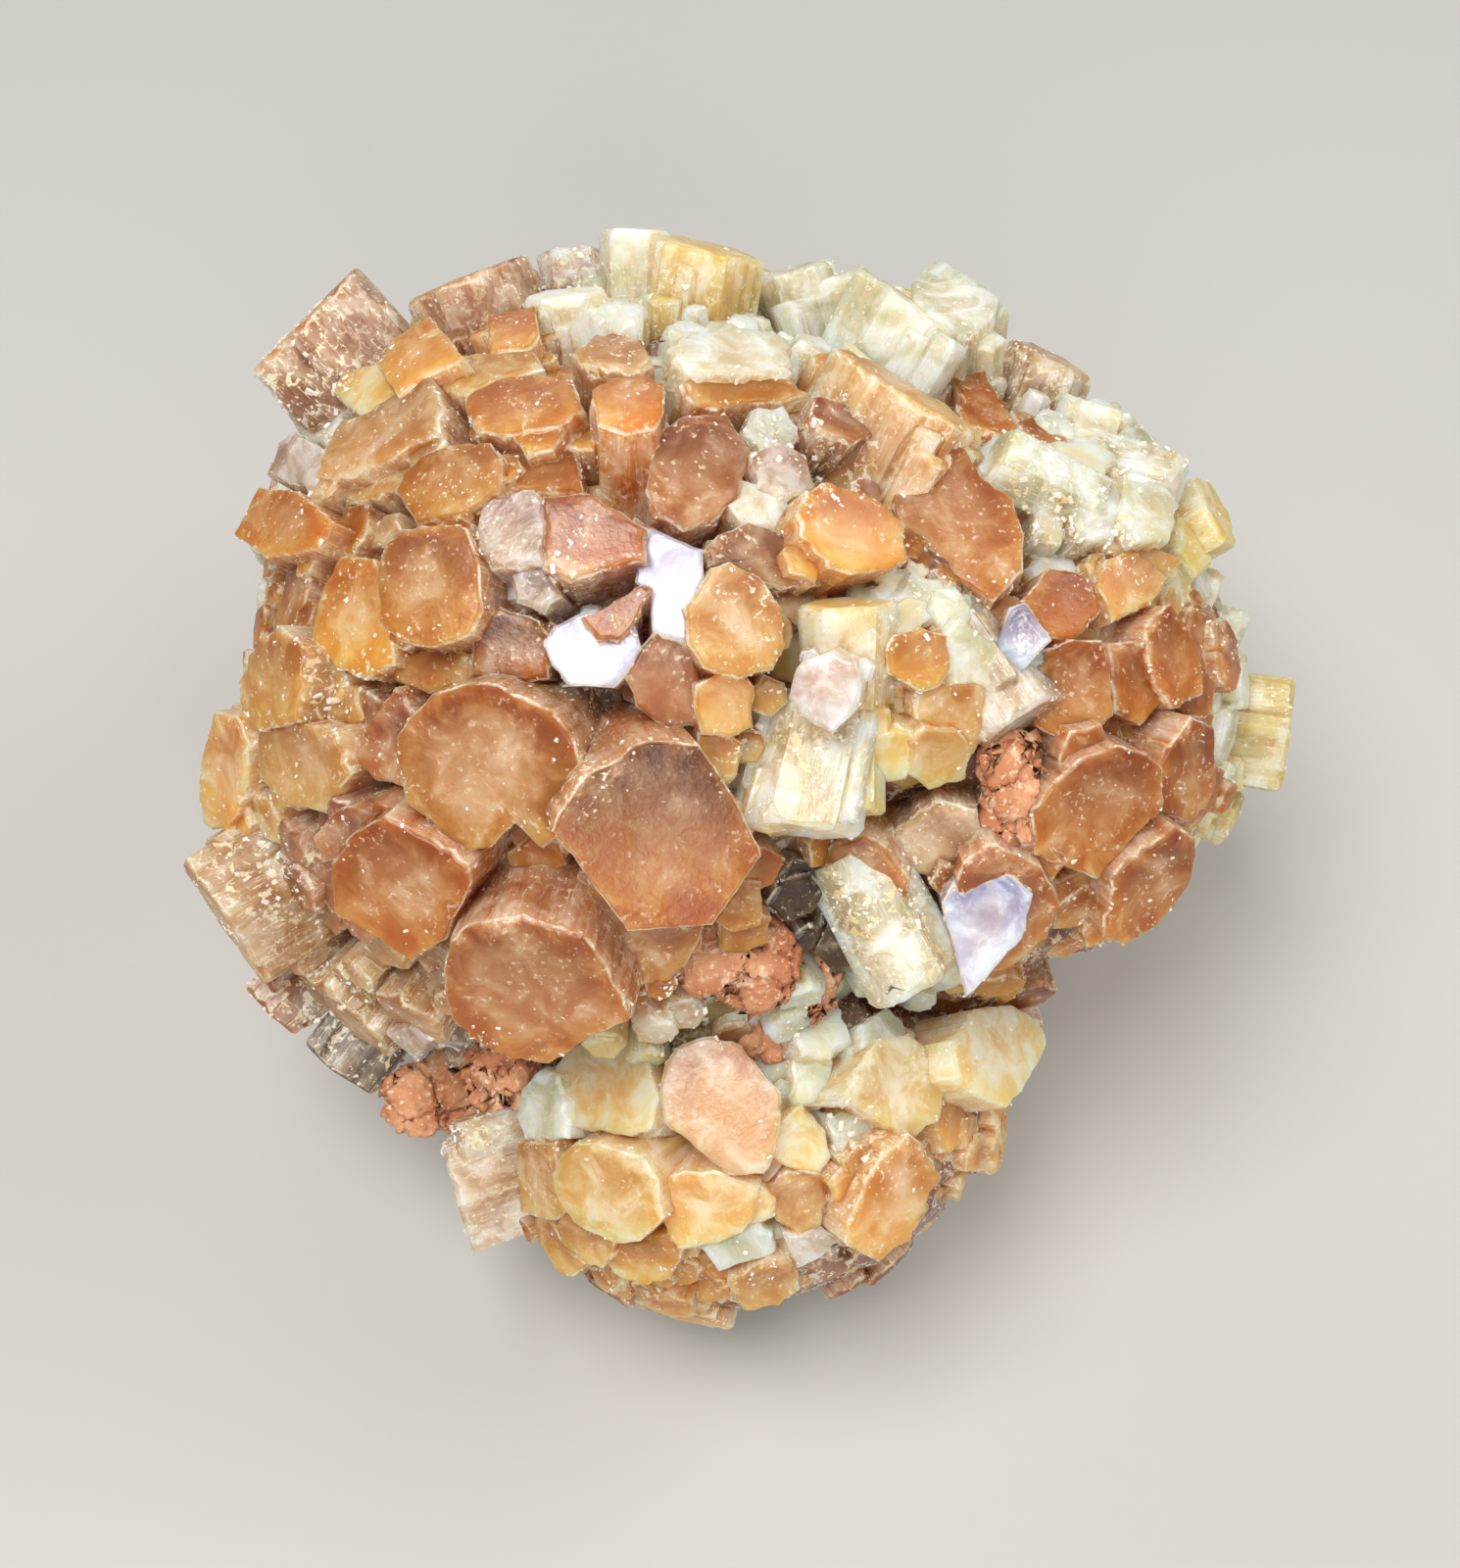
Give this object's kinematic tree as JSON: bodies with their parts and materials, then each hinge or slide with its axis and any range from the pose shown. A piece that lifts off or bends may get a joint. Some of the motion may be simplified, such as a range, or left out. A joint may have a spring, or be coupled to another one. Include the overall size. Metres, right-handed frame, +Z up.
{
  "type": "aragonite crystal cluster",
  "caption": "A rounded cluster of stubby pseudo-hexagonal aragonite crystals that radiate from three grown-together sprays, with red clay left in the clefts.",
  "frame": {"origin": "middle of the bounding box, at the height of the lowest crystals' flat ends", "axes": "+Z up; +Y away from the viewer of the picture; +X to that viewer's right"},
  "size_m": [0.0882, 0.0868, 0.0658],
  "materials": {
    "aragonite": "translucent crystal with frosted ends and glossy striated sides",
    "red_clay": "dry, cracked and matt"
  },
  "bodies": {
    "root": {"aragonite_cluster": "aragonite", "red_clay_cleft": "red_clay", "red_clay_side": "red_clay", "red_clay_right": "red_clay"}
  },
  "joints": []
}
